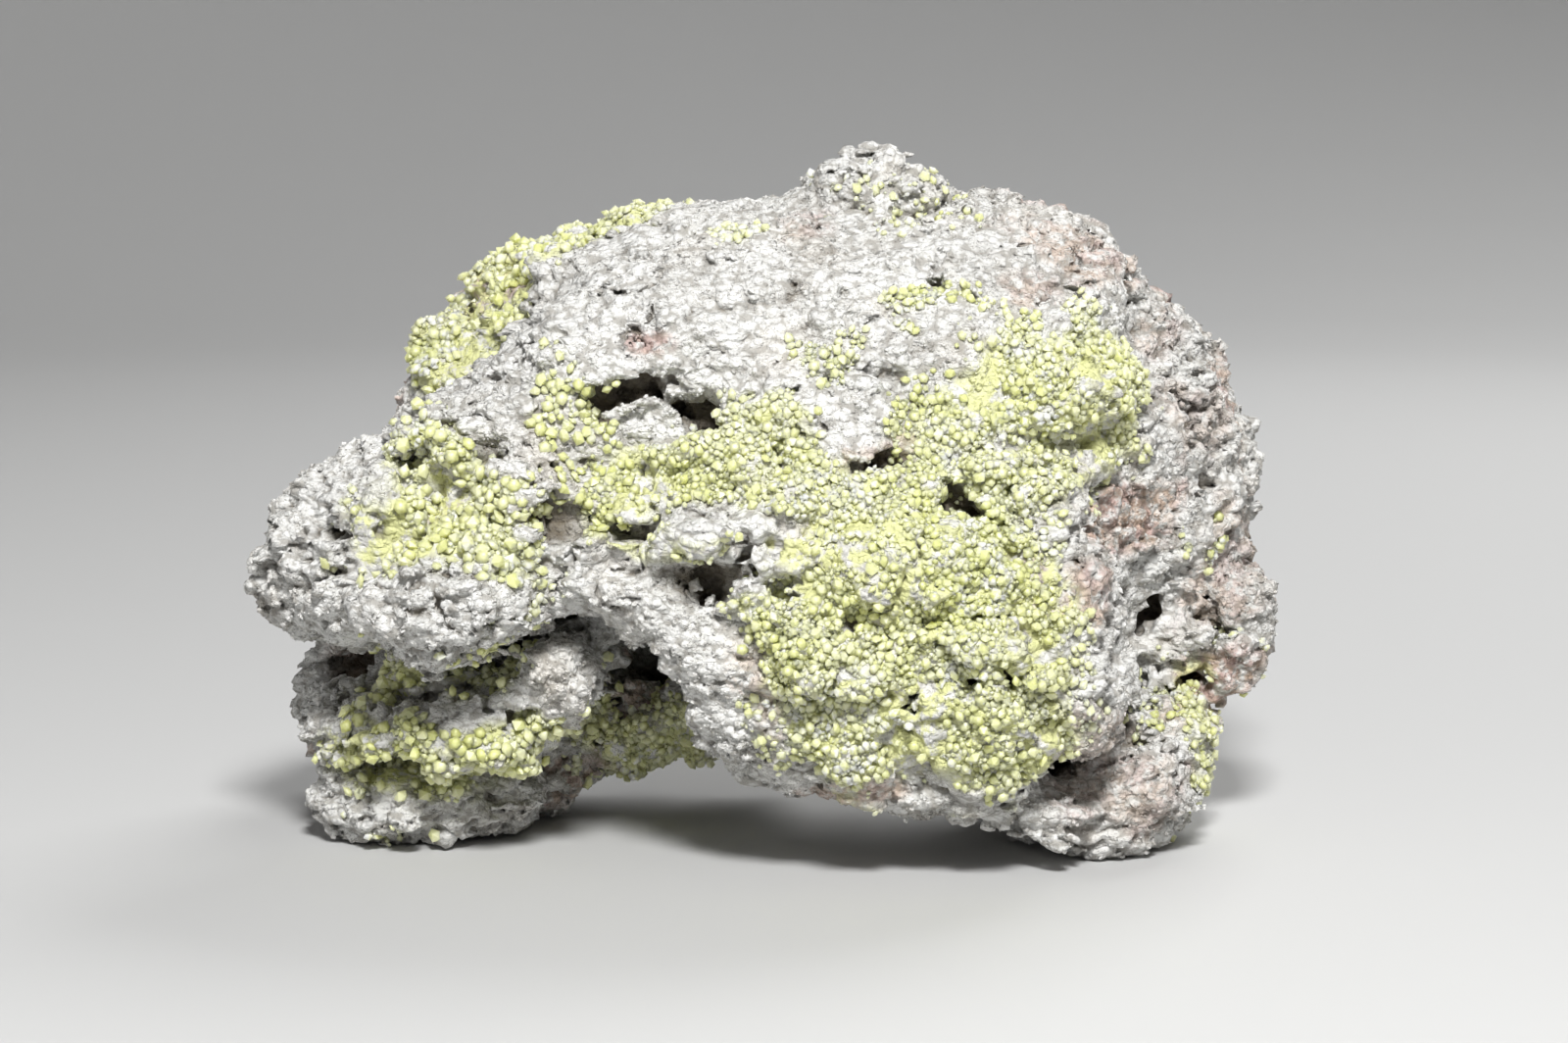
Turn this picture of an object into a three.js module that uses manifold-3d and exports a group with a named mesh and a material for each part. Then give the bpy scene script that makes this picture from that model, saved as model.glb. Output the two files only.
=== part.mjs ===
// A hand specimen of native sulfur: crusts of small sulfur crystals grown on a block of pale, bleached volcanic rock.
//
// Millimetres, +Z up. +X runs along the block's length, -Y is the crystal-covered front, and the block stands on the
// flat broken undersides of its feet at z = 0. The rock is one piece. Each crust is its own piece: a closed shell that
// follows the rock's surface and reaches the tips of its crystals.

import * as THREE from 'three';
import { ImprovedNoise } from 'three/addons/math/ImprovedNoise.js';
import { edgeTable, triTable } from 'three/addons/objects/MarchingCubes.js';
import { mergeVertices } from 'three/addons/utils/BufferGeometryUtils.js';
import Module from 'manifold-3d';

const wasm = await Module();
wasm.setup();

// ---------------------------------------------------------------- driving dimensions

const LENGTH = 120; // along X, of the finished block
const CELL = 3.6; // grid step of the rock's surface
const BLEND = 5; // radius that softens the join between two lobes
const HOLLOW_BLEND = 2.2; // radius on the rim of a hollow
const CRUST_GAP = 0.3; // between the rock and a crust
const CRUST_HEIGHT = 2.1; // crystal tips over the rock, inside a crust
const CRUST_EDGE_HEIGHT = 1.0; // the same at a crust's rim

// The block's field is worked out in this space, which holds every lobe with room to spare.
const SPACE = new THREE.Box3(new THREE.Vector3(-70, -50, -6), new THREE.Vector3(70, 52, 92));

// ---------------------------------------------------------------- the shape, as lobes and hollows

const at = (x, y, z) => new THREE.Vector3(x, y, z);

// An ellipsoid: its centre, its three radii, and its turn in degrees about Y (positive dips the right end) and Z.
function ellipsoid(centre, radii, dip = 0, yaw = 0) {
  const turn = new THREE.Euler(0, THREE.MathUtils.degToRad(dip), THREE.MathUtils.degToRad(yaw), 'ZYX');
  const inverse = new THREE.Matrix4()
    .compose(centre, new THREE.Quaternion().setFromEuler(turn), at(1, 1, 1))
    .invert();
  return { inverse, radii };
}

const LOBES = [
  // the heart of the block, back and front
  ellipsoid(at(8, 4, 42), at(42, 28, 32)),
  ellipsoid(at(10, -20, 34), at(29, 18, 25)), // the bulge that carries the main crust
  ellipsoid(at(23, -22, 24), at(19, 15, 18)), // its lower right, up to the sharp right ridge
  ellipsoid(at(12, -12, 55), at(33, 16, 17)), // the sloping upper front
  ellipsoid(at(-16, -10, 56), at(22, 16, 13), -38), // the same, running down to the wing
  // the left wing and its lip
  ellipsoid(at(-34, -13, 43), at(23, 16, 12), -28),
  ellipsoid(at(-45, -10, 36), at(15, 14, 11), -16),
  ellipsoid(at(-34, -26, 30.5), at(10, 9, 6), -8), // the boss under the left pocket
  ellipsoid(at(-27, -26, 43), at(5, 8, 9), 12), // the buttress between the left pocket and the main front
  ellipsoid(at(-12, -29, 36), at(14, 8, 4.5), 4), // the lip over the arch
  // the back and the crest
  ellipsoid(at(-22.5, 19, 51.5), at(24, 18, 18.5), -26),
  ellipsoid(at(6, 6, 65), at(36, 18, 11)),
  ellipsoid(at(13, 9, 74), at(9, 8, 9)), // the knob on the crest
  ellipsoid(at(29, 4, 67), at(16, 16, 11), 12),
  // the right side
  ellipsoid(at(37, 12, 44), at(22, 24, 24)),
  ellipsoid(at(51, 6, 25), at(12, 12, 9), -10), // the knob that ends the block on the right
  ellipsoid(at(39, 0, 11), at(15, 21, 13)), // the right foot
  // the left foot, set back under the wing
  ellipsoid(at(-37, 16, 14), at(21, 17, 15)),
  ellipsoid(at(-34, -8, 18.5), at(18, 13, 5), -14), // the ledge
  ellipsoid(at(-49, -3, 14), at(7, 10, 6)), // the ledge's left end
  ellipsoid(at(-41, 0, 5), at(14, 13, 6.5)), // the toe
  ellipsoid(at(-27, 10, 4.5), at(6, 7, 5.5)),
  ellipsoid(at(-10, 16, 11), at(20, 13, 8)), // the floor of the arch
];

const HOLLOWS = [
  ellipsoid(at(-44, -16, 22), at(13, 16, 2.3)), // the slot under the wing's lip
  ellipsoid(at(-26, -16, 26.5), at(10, 20, 2.8), -18),
  ellipsoid(at(-13.5, -12, 21), at(7.5, 24, 9.5), 18), // the arch
  ellipsoid(at(-42, -10, 11.5), at(9, 9, 2.4)), // the slot between ledge and toe
  ellipsoid(at(-8, 0, 1), at(17, 60, 8.5)), // the way through between the feet
  ellipsoid(at(38, -22, 12.5), at(10, 12, 3), -14), // the undercut at the lower right
  ellipsoid(at(-4, -34, 52), at(10, 9, 2.6), 6), // the long slot over the main crust
  ellipsoid(at(-39, -31, 46), at(6.5, 9, 4), -10), // the left pocket
  ellipsoid(at(-20, -37, 38), at(9, 9, 2.4), 8), // the crevice over the lip
  ellipsoid(at(-3, -39, 32), at(5, 8, 2.6)), // the hollow under the lip's nose
  ellipsoid(at(46, -14, 39), at(5, 10, 2), -12), // the slot on the right side
  ellipsoid(at(49, -8, 19), at(5, 10, 3), -35), // and the one below it
];

// The rock's lumpiness: how far it stands in or out, and how far apart its lumps are.
const RIPPLES = [
  { height: 1.7, wavelength: 15, seed: 3.7 },
  { height: 0.9, wavelength: 8, seed: 11.3 },
];

const perlin = new ImprovedNoise();

// Perlin noise at a wavelength in mm, about -1 to 1.
const ripple = (p, wavelength, seed) =>
  perlin.noise(p.x / wavelength + seed, p.y / wavelength + 2 * seed, p.z / wavelength - seed);

const local = new THREE.Vector3();

// Distance from p to an ellipsoid, negative inside: exact on its surface and close to it nearby.
function ellipsoidDistance({ inverse, radii }, p) {
  local.copy(p).applyMatrix4(inverse).divide(radii);
  const scaled = local.length();
  const gradient = local.divide(radii).length();
  return (scaled * (scaled - 1)) / Math.max(gradient, 1e-6);
}

// The smaller of a and b, rounded over the given radius where they are close.
function softMin(a, b, radius) {
  const h = Math.max(radius - Math.abs(a - b), 0) / radius;
  return Math.min(a, b) - (h * h * radius) / 4;
}

// The rock's field: about the distance in mm from p to its surface, negative inside.
function rockField(p) {
  let d = Infinity;
  for (const lobe of LOBES) {
    const distance = ellipsoidDistance(lobe, p);
    d = d === Infinity ? distance : softMin(d, distance, BLEND);
  }
  for (const { height, wavelength, seed } of RIPPLES) d -= height * ripple(p, wavelength, seed);
  for (const hollow of HOLLOWS) d = -softMin(-d, ellipsoidDistance(hollow, p), HOLLOW_BLEND);
  return d;
}

// ---------------------------------------------------------------- from a field to a closed mesh

// A cube's corners and edges in the order of the marching-cubes tables: corner offsets, then each edge as its low
// corner and the axis it runs along.
const CORNERS = [[0, 0, 0], [1, 0, 0], [1, 1, 0], [0, 1, 0], [0, 0, 1], [1, 0, 1], [1, 1, 1], [0, 1, 1]];
const EDGES = [[0, 0], [1, 1], [3, 0], [0, 1], [4, 0], [5, 1], [7, 0], [4, 1], [0, 2], [1, 2], [2, 2], [3, 2]];
const SHORTEST = 0.2; // share of an edge that a crossing keeps from its ends, so that no triangle is a sliver

// Marches a field over SPACE. Returns { points, faces }, with outward faces.
function march(field, cell) {
  const size = SPACE.getSize(new THREE.Vector3());
  const count = [size.x, size.y, size.z].map((s) => Math.ceil(s / cell) + 1);
  const index = (i, j, k) => i + count[0] * (j + count[1] * k);
  const place = (i, j, k) => at(i, j, k).multiplyScalar(cell).add(SPACE.min);
  const values = new Float64Array(count[0] * count[1] * count[2]);
  for (let k = 0; k < count[2]; k++)
    for (let j = 0; j < count[1]; j++)
      for (let i = 0; i < count[0]; i++) values[index(i, j, k)] = field(place(i, j, k));

  const points = [];
  const faces = [];
  const crossings = new Map();
  const crossing = (i, j, k, axis) => {
    const low = index(i, j, k);
    const key = low * 3 + axis;
    if (!crossings.has(key)) {
      const step = [0, 1, 2].map((n) => (n === axis ? 1 : 0));
      const a = values[low];
      const b = values[index(i + step[0], j + step[1], k + step[2])];
      const share = THREE.MathUtils.clamp(a / (a - b), SHORTEST, 1 - SHORTEST);
      crossings.set(key, points.push(place(i + step[0] * share, j + step[1] * share, k + step[2] * share)) - 1);
    }
    return crossings.get(key);
  };

  for (let k = 0; k < count[2] - 1; k++)
    for (let j = 0; j < count[1] - 1; j++)
      for (let i = 0; i < count[0] - 1; i++) {
        let inside = 0;
        CORNERS.forEach(([x, y, z], n) => {
          if (values[index(i + x, j + y, k + z)] < 0) inside |= 1 << n;
        });
        if (!edgeTable[inside]) continue;
        for (let t = inside * 16; triTable[t] !== -1; t += 3)
          faces.push(
            [triTable[t], triTable[t + 2], triTable[t + 1]].map((edge) => {
              const [x, y, z] = CORNERS[EDGES[edge][0]];
              return crossing(i + x, j + y, k + z, EDGES[edge][1]);
            }),
          );
      }
  return { points, faces };
}

// The direction in which a field grows fastest at p.
function slopeOf(field, p) {
  const h = 0.5;
  const along = (dx, dy, dz) => field(at(p.x + dx, p.y + dy, p.z + dz)) - field(at(p.x - dx, p.y - dy, p.z - dz));
  return at(along(h, 0, 0), along(0, h, 0), along(0, 0, h)).divideScalar(2 * h);
}

// Evens out the triangles: each point moves towards the middle of its neighbours, then back onto the surface.
function relax({ points, faces }, field, rounds) {
  const neighbours = points.map(() => new Set());
  for (const face of faces)
    face.forEach((v, n) => {
      neighbours[v].add(face[(n + 1) % 3]);
      neighbours[v].add(face[(n + 2) % 3]);
    });
  for (let round = 0; round < rounds; round++) {
    const middles = neighbours.map((near) =>
      [...near].reduce((sum, v) => sum.add(points[v]), at(0, 0, 0)).divideScalar(near.size),
    );
    points.forEach((p, v) => {
      p.lerp(middles[v], 0.6);
      const slope = slopeOf(field, p);
      p.addScaledVector(slope, THREE.MathUtils.clamp(-field(p) / Math.max(slope.lengthSq(), 0.2), -1, 1));
    });
  }
}

// Outward unit normals at the points.
function normalsOf({ points, faces }) {
  const normals = points.map(() => at(0, 0, 0));
  for (const face of faces) {
    const [a, b, c] = face.map((v) => points[v]);
    const cross = b.clone().sub(a).cross(c.clone().sub(a));
    face.forEach((v) => normals[v].add(cross));
  }
  return normals.map((n) => n.normalize());
}

function geometryOf({ points, faces }) {
  const geometry = new THREE.BufferGeometry().setFromPoints(points);
  geometry.setIndex(faces.flat());
  return geometry;
}

// ---------------------------------------------------------------- booleans

function solidOf(geometry) {
  const bare = geometry.clone();
  bare.deleteAttribute('normal');
  bare.deleteAttribute('uv');
  const merged = mergeVertices(bare, 1e-4);
  return new wasm.Manifold(
    new wasm.Mesh({
      numProp: 3,
      vertProperties: new Float32Array(merged.attributes.position.array),
      triVerts: new Uint32Array(merged.index.array),
    }),
  );
}

function geometryFrom(solid) {
  const mesh = solid.getMesh();
  const geometry = new THREE.BufferGeometry();
  geometry.setAttribute('position', new THREE.BufferAttribute(mesh.vertProperties, 3));
  geometry.setIndex(new THREE.BufferAttribute(mesh.triVerts, 1));
  return geometry;
}

// ---------------------------------------------------------------- the crusts

// Each crust covers the rock's surface inside a few balls: a centre and a radius each.
const ball = (x, y, z, radius) => ({ centre: at(x, y, z), radius });

const CRUSTS = {
  sulfur_crust_main: [
    ball(-14, -33, 47, 8),
    ball(-3, -35, 47, 10),
    ball(10, -40, 38, 13),
    ball(12, -40, 25, 12),
    ball(14, -38, 13, 8),
    ball(23, -38, 18, 12),
    ball(25, -36, 32, 10),
  ],
  sulfur_crust_upper_right: [ball(28, -24, 54, 9), ball(37, -18, 56, 8), ball(22, -30, 49, 7)],
  sulfur_crust_left_pocket: [ball(-39, -28, 44, 9), ball(-35, -28, 37, 8)],
  sulfur_crust_ledge: [ball(-34, -17, 16, 9), ball(-46, -12, 15, 6)],
  sulfur_crust_toe: [ball(-42, -12, 9, 6.5)],
  sulfur_crust_arch_floor: [ball(-14, 6, 15, 9)],
  sulfur_crust_back_left: [ball(-24, 12, 70, 10), ball(-36, 10, 62, 9)],
  sulfur_crust_back: [ball(-2, 34, 44, 11), ball(12, 36, 50, 10)],
  sulfur_crust_back_foot: [ball(36, 30, 22, 9)],
  sulfur_crust_right: [ball(55, -4, 12, 9)],
};

const inBalls = (balls, p) => balls.some(({ centre, radius }) => centre.distanceTo(p) < radius);

// The faces of one crust: the largest connected patch of rock faces inside its balls that touches no point already taken.
function patchFaces(rock, balls, taken) {
  const chosen = rock.faces.filter((face) => face.every((v) => !taken.has(v) && inBalls(balls, rock.points[v])));
  const byPoint = new Map();
  chosen.forEach((face, n) => face.forEach((v) => byPoint.set(v, [...(byPoint.get(v) ?? []), n])));
  const seen = new Set();
  let largest = [];
  chosen.forEach((_, start) => {
    if (seen.has(start)) return;
    const island = [start];
    seen.add(start);
    for (const n of island)
      for (const v of chosen[n])
        for (const next of byPoint.get(v))
          if (!seen.has(next) && sharesEdge(chosen[n], chosen[next])) {
            seen.add(next);
            island.push(next);
          }
    if (island.length > largest.length) largest = island;
  });
  return withoutPinches(largest.map((n) => chosen[n]));
}

const sharesEdge = (a, b) => a.filter((v) => b.includes(v)).length >= 2;

// Drops faces at points where a patch only touches itself by a corner, until each point has one fan of faces.
function withoutPinches(patch) {
  for (;;) {
    const rim = new Map();
    for (const [a, b] of rimOf(patch)) rim.set(a, (rim.get(a) ?? 0) + 1);
    const pinched = [...rim].filter(([, count]) => count > 1).map(([v]) => v);
    if (!pinched.length) return patch;
    patch = patch.filter((face) => !face.some((v) => pinched.includes(v)));
  }
}

// The directed edges on the rim of a patch.
function rimOf(patch) {
  const edges = new Map();
  for (const face of patch) face.forEach((a, n) => edges.set(`${a},${face[(n + 1) % 3]}`, [a, face[(n + 1) % 3]]));
  return [...edges.values()].filter(([a, b]) => !edges.has(`${b},${a}`));
}

// A closed shell over a patch of the rock: its underside keeps CRUST_GAP from the rock, its top is CRUST_HEIGHT over it.
function crustGeometry(rock, normals, patch) {
  const rim = rimOf(patch);
  const onRim = new Set(rim.flat());
  const used = [...new Set(patch.flat())];
  const under = new Map(used.map((v, n) => [v, n]));
  const offset = (v, height) => rock.points[v].clone().addScaledVector(normals[v], height);
  const points = [
    ...used.map((v) => offset(v, CRUST_GAP)),
    ...used.map((v) => offset(v, onRim.has(v) ? CRUST_EDGE_HEIGHT : CRUST_HEIGHT)),
  ];
  const over = (v) => under.get(v) + used.length;
  const faces = [];
  for (const [a, b, c] of patch) {
    faces.push([over(a), over(b), over(c)]);
    faces.push([under.get(c), under.get(b), under.get(a)]);
  }
  for (const [a, b] of rim) {
    faces.push([under.get(a), under.get(b), over(b)]);
    faces.push([under.get(a), over(b), over(a)]);
  }
  return geometryOf({ points, faces });
}

// ---------------------------------------------------------------- assembly

const rock = march(rockField, CELL);
relax(rock, rockField, 4);
const normals = normalsOf(rock);

const base = new THREE.BoxGeometry(400, 400, 20).translate(0, 0, -10); // what the feet are broken off at
const rockGeometry = geometryFrom(solidOf(geometryOf(rock)).subtract(solidOf(base)));

const rockMaterial = new THREE.MeshStandardMaterial({ color: 0xd8d6cf, roughness: 0.95, metalness: 0 });
const sulfurMaterial = new THREE.MeshStandardMaterial({ color: 0xd2d66a, roughness: 0.45, metalness: 0 });

const specimen = new THREE.Group();

function addPiece(name, geometry, material) {
  const mesh = new THREE.Mesh(geometry, material);
  mesh.name = name;
  specimen.add(mesh);
}

addPiece('matrix_rock', rockGeometry, rockMaterial);
const taken = new Set();
for (const [name, balls] of Object.entries(CRUSTS)) {
  const patch = patchFaces(rock, balls, taken);
  patch.flat().forEach((v) => taken.add(v));
  addPiece(name, crustGeometry(rock, normals, patch), sulfurMaterial);
}

// The block's length sets the scale, and its box is centred over the origin.
const box = new THREE.Box3().setFromObject(specimen);
const scale = LENGTH / (box.max.x - box.min.x);
specimen.scale.setScalar(scale);
specimen.position.set((-scale * (box.min.x + box.max.x)) / 2, (-scale * (box.min.y + box.max.y)) / 2, -scale * box.min.z);

export default specimen;
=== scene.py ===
"""A hand specimen of native sulfur: a pale, crumbly block of volcanic rock, crusted with small crystals.

The block's outline and the places of its crusts come from the CAD frame. The swells, hollows, stains and
patches of its front are listed as shares of that outline. This file makes what the eye sees: the
rock's fine relief, the grit on it, and the crystals of every crust.
"""

import itertools
import math
from concurrent.futures import ThreadPoolExecutor

import bpy
import numpy as np
import openvdb as vdb
from bpy.props import FloatProperty, FloatVectorProperty, IntProperty, PointerProperty
from bpy.types import Operator, Panel, PropertyGroup
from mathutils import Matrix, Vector
from mathutils.bvhtree import BVHTree


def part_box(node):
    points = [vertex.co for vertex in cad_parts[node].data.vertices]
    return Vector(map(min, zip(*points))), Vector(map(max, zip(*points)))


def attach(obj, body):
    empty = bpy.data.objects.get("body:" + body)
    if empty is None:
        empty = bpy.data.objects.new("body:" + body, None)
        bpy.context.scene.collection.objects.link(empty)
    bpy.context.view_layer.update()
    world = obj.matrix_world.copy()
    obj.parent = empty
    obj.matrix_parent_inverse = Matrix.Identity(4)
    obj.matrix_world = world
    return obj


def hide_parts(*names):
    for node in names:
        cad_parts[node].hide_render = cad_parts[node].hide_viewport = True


bl_info = {
    "name": "Sulfur Specimen",
    "version": (1, 0, 0),
    "blender": (4, 5, 0),
    "location": "View3D > Sidebar > Specimen",
    "description": "Makes a block of crumbly rock with crusts of small sulfur crystals",
    "category": "Object",
}

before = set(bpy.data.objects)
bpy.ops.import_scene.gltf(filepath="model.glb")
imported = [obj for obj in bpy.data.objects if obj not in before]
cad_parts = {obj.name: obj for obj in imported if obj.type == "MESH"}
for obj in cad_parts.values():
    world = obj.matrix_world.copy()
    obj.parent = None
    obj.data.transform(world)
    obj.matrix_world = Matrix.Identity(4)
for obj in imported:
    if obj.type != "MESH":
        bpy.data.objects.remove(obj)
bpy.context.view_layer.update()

MM = 0.001  # the relief is worked out in millimetres, and Blender holds metres
ROCK_NODE = "matrix_rock"
CRUST_NODES = sorted(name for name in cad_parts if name.startswith("sulfur_crust"))


# ---------------- settings


class RockSettings(PropertyGroup):
    voxel: FloatProperty(name="Relief step", description="Step of the grid that the relief is carved on",
                         default=0.4 * MM, unit="LENGTH")
    triangles: IntProperty(name="Triangles", description="Triangles that the finished rock keeps",
                           default=197000)
    lump_height: FloatProperty(name="Lump height", description="How far the big lumps stand out",
                               default=1.9 * MM, unit="LENGTH")
    clod_height: FloatProperty(name="Clod height", description="How far the clods stand out",
                               default=1.7 * MM, unit="LENGTH")
    grain_height: FloatProperty(name="Grain height", description="How far the coarse grains stand out",
                                default=0.85 * MM, unit="LENGTH")
    grit_density: FloatProperty(name="Grit", description="Loose grains tried on each square millimetre",
                                default=1.7)
    white: FloatVectorProperty(name="White", description="Bleached rock", subtype="COLOR",
                               default=(0.78, 0.775, 0.75))
    grey: FloatVectorProperty(name="Grey", description="Weathered rock", subtype="COLOR",
                              default=(0.40, 0.39, 0.37))
    pink: FloatVectorProperty(name="Pink", description="Iron stain", subtype="COLOR",
                              default=(0.45, 0.24, 0.20))
    # brown: dirt, and painted shade in the hollows, creases, cracks and pores
    dirt_and_shade_brown: FloatVectorProperty(name="Brown", description="Dirt in the hollows", subtype="COLOR",
                               default=(0.11, 0.085, 0.05))
    sulfur_dust: FloatVectorProperty(name="Sulfur dust", description="Yellow rock beside the crusts",
                                     subtype="COLOR", default=(0.70, 0.71, 0.33))


class CrystalSettings(PropertyGroup):
    size: FloatProperty(name="Crystal size", description="Width of a crystal before it varies",
                        default=0.9 * MM, unit="LENGTH")
    spread: FloatProperty(name="Size spread", description="Share by which crystals differ in size",
                          default=0.45, subtype="FACTOR")
    spacing: FloatProperty(name="Spacing", description="Distance between neighbours, in crystal sizes",
                           default=0.60)
    pale: FloatVectorProperty(name="Pale sulfur", description="Colour of the palest crystals",
                              default=(0.83, 0.84, 0.45), subtype="COLOR")
    deep: FloatVectorProperty(name="Deep sulfur", description="Colour of the deepest crystals",
                              default=(0.69, 0.72, 0.245), subtype="COLOR")


class StageSettings(PropertyGroup):
    floor: FloatVectorProperty(name="Floor", description="Colour of the floor", subtype="COLOR",
                               default=(0.52, 0.52, 0.515))
    key_power: FloatProperty(name="Key light", description="Power of the key light", default=7.4,
                             unit="POWER")


# ---------------- noise, on arrays of points

LATTICE = 64  # random values along each side of the cube that the noise repeats, a power of two
CORNERS = [np.array(corner, np.int32) for corner in itertools.product((0, 1), repeat=3)]


def lattice_number(cube):
    """The number of a cube of the lattice, which repeats along every axis."""
    i, j, k = (cube & (LATTICE - 1)).T
    return (i * LATTICE + j) * LATTICE + k


def cells(points, size, seed):
    """Distances to the nearest and second nearest of random centres, and the nearest one's random number.

    There is one centre to a cube of the given size. Distances are in cube sizes.
    """
    rng = np.random.default_rng(seed)
    centres = rng.uniform(0.1, 0.9, (LATTICE**3, 3)).astype(np.float32)
    labels = rng.random(LATTICE**3, dtype=np.float32)
    scaled = (points / size).astype(np.float32)
    low = np.floor(scaled - 0.5).astype(np.int32)
    first = np.full(len(points), 9.0, np.float32)
    second = first.copy()
    nearest = np.zeros(len(points), np.int32)
    for corner in CORNERS:
        cube = low + corner
        number = lattice_number(cube)
        away = scaled - cube - centres[number]
        away = np.einsum("ij,ij->i", away, away)
        nearer = away < first
        second = np.where(nearer, first, np.minimum(second, away))
        nearest = np.where(nearer, number, nearest)
        first = np.minimum(first, away)
    return np.sqrt(first), np.sqrt(second), labels[nearest]


def ripple(points, wavelength, seed):
    """Smooth noise from about -1 to 1 at a wavelength."""
    values = np.random.default_rng(seed).random(LATTICE**3, dtype=np.float32) * 2 - 1
    scaled = (points / wavelength).astype(np.float32)
    low = np.floor(scaled).astype(np.int32)
    part = scaled - low
    part = part * part * part * (part * (part * 6 - 15) + 10)
    shares = (1 - part.T, part.T)
    total = np.zeros(len(points), np.float32)
    for corner in CORNERS:
        i, j, k = corner
        total += shares[i][0] * shares[j][1] * shares[k][2] * values[lattice_number(low + corner)]
    return total * 1.6


def rough(points, wavelength, seed, octaves=4):
    """Noise in several octaves, each half as wide and half as strong."""
    total = np.zeros(len(points), np.float32)
    for n in range(octaves):
        total += ripple(points + 17.3 * n, wavelength / 2**n, seed + n) / 2**n
    return total / 1.6


def smooth_step(low, high, value):
    share = np.clip((value - low) / (high - low), 0, 1)
    return share * share * (3 - 2 * share)


def in_strips(work, points):
    """The work's result on many points, done a strip at a time on every core."""
    with ThreadPoolExecutor() as pool:
        return np.concatenate(list(pool.map(work, np.array_split(points, len(points) // 60000 + 1))))


# ---------------- the CAD shapes, as fields and trees


def mesh_points(mesh):
    points = np.zeros(len(mesh.vertices) * 3, np.float32)
    mesh.vertices.foreach_get("co", points)
    return points.reshape(-1, 3) / MM


def mesh_triangles(mesh):
    mesh.calc_loop_triangles()
    triangles = np.zeros(len(mesh.loop_triangles) * 3, np.int32)
    mesh.loop_triangles.foreach_get("vertices", triangles)
    return triangles.reshape(-1, 3)


def node_mesh(name):
    """Points in mm and triangles of a CAD node."""
    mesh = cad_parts[name].data
    return mesh_points(mesh), mesh_triangles(mesh)


def node_tree(name):
    points, triangles = node_mesh(name)
    return BVHTree.FromPolygons(points.tolist(), triangles.tolist())


class Field:
    """A block of signed distances in mm, negative inside, on a grid of cubes."""

    def __init__(self, low, high, step):
        self.step = step
        self.low = np.array(low, np.float64)
        self.shape = tuple(int(math.ceil(s / step)) + 1 for s in np.array(high) - self.low)
        self.values = np.zeros(self.shape, np.float32)

    def copy(self):
        twin = Field(self.low, self.low, self.step)
        twin.shape = self.shape
        twin.values = self.values.copy()
        return twin

    def fill_from(self, points, triangles, reach):
        """Distances to a closed mesh, exact out to the reach."""
        grid = vdb.FloatGrid.createLevelSetFromPolygons(
            (points - self.low).astype(np.float32), triangles=triangles.astype(np.uint32),
            transform=vdb.createLinearTransform(self.step), halfWidth=reach / self.step)
        grid.copyToArray(self.values)

    def soften(self, rounds):
        for _ in range(rounds):
            for axis in range(3):
                v = np.swapaxes(self.values, 0, axis)
                v[1:-1] = 0.25 * v[:-2] + 0.5 * v[1:-1] + 0.25 * v[2:]

    def points_at(self, index):
        return self.low + self.step * index

    def near_surface(self, reach):
        """Grid indices where the distance is under the reach."""
        return np.argwhere(np.abs(self.values) < reach)

    def sample(self, points):
        """Distances at any points, mixed from the eight corners around each."""
        scaled = np.clip((points - self.low) / self.step, 0, np.array(self.shape) - 1.001)
        cube = np.floor(scaled).astype(np.int32)
        part = scaled - cube
        total = np.zeros(len(points))
        for corner in itertools.product((0, 1), repeat=3):
            i, j, k = (cube + np.array(corner, np.int32)).T
            total += np.prod(np.where(corner, part, 1 - part), axis=1) * self.values[i, j, k]
        return total

    def surface(self):
        """Points in mm and quads where the distance is zero."""
        grid = vdb.FloatGrid(10.0)
        grid.copyFromArray(self.values)
        grid.transform = vdb.createLinearTransform(self.step)
        points, quads = grid.convertToQuads(0)
        return points + self.low, quads[:, ::-1]


# ---------------- places on the block

block_low, block_high = (np.array(corner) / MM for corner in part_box(ROCK_NODE))
rock_tree = node_tree(ROCK_NODE)

VIEW_TILT = math.radians(8)  # the usual view looks down on the block by this much
VIEW_START = 200  # mm in front of the block, where lines of sight start
VIEW_UP = np.array((0, math.sin(VIEW_TILT), math.cos(VIEW_TILT)))
VIEW_AWAY = np.array((0, math.cos(VIEW_TILT), -math.sin(VIEW_TILT)))


def seen(points):
    """Points in mm as the usual view sees them: across, up and away."""
    return np.stack((points[..., 0], points @ VIEW_UP, points @ VIEW_AWAY), -1)


block_outline = seen(node_mesh(ROCK_NODE)[0])[:, :2]
outline_low = block_outline.min(0)
outline_size = block_outline.max(0) - outline_low


def on_front(across, up):
    """The point in mm of the rock's front at a share of its outline's width and height in the view."""
    x, rise = outline_low + outline_size * (across, up)
    start = np.array((x, 0, 0)) + rise * VIEW_UP - VIEW_START * VIEW_AWAY
    hit = rock_tree.ray_cast(Vector(start), Vector(VIEW_AWAY))[0]
    if hit is None:
        raise ValueError(f"the front has no rock at {across}, {up}")
    return np.array(hit)


def on_oval(points, centre, radii, tilt):
    """Points as seen from an oval's centre, turned by its tilt, in shares of its half sizes."""
    away = seen(points) - seen(centre)
    turn = math.radians(tilt)
    flat = away[:, 0] * math.cos(turn) + away[:, 1] * math.sin(turn)
    rise = away[:, 1] * math.cos(turn) - away[:, 0] * math.sin(turn)
    return np.stack((flat, rise, away[:, 2]), 1) / radii


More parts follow.
